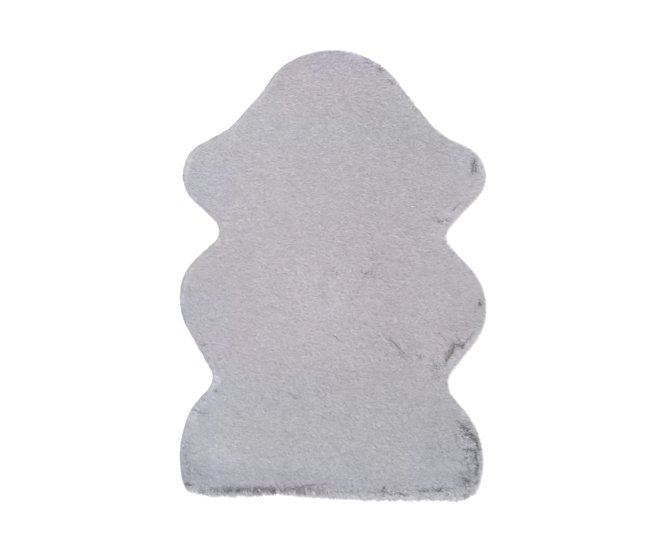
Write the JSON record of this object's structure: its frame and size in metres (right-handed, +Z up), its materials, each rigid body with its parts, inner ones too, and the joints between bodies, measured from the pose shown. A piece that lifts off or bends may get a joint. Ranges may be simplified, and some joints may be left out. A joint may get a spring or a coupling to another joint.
{
  "type": "shag rug",
  "caption": "Flat short-pile faux-fur rug cut like an animal skin, with a domed head end and round lobes down both long sides.",
  "frame": {"origin": "on the floor under the middle of the rug's box", "axes": "+Z up out of the pile, +Y along the rug towards the domed head end, +X to the right seen from above with the head end away"},
  "size_m": [0.608, 0.899, 0.0207],
  "materials": {
    "faux_fur": "soft short dense pile, pale lilac grey, brushed to the right and a little towards the lower edge"
  },
  "bodies": {
    "root": {"rug": "faux_fur"}
  },
  "joints": []
}
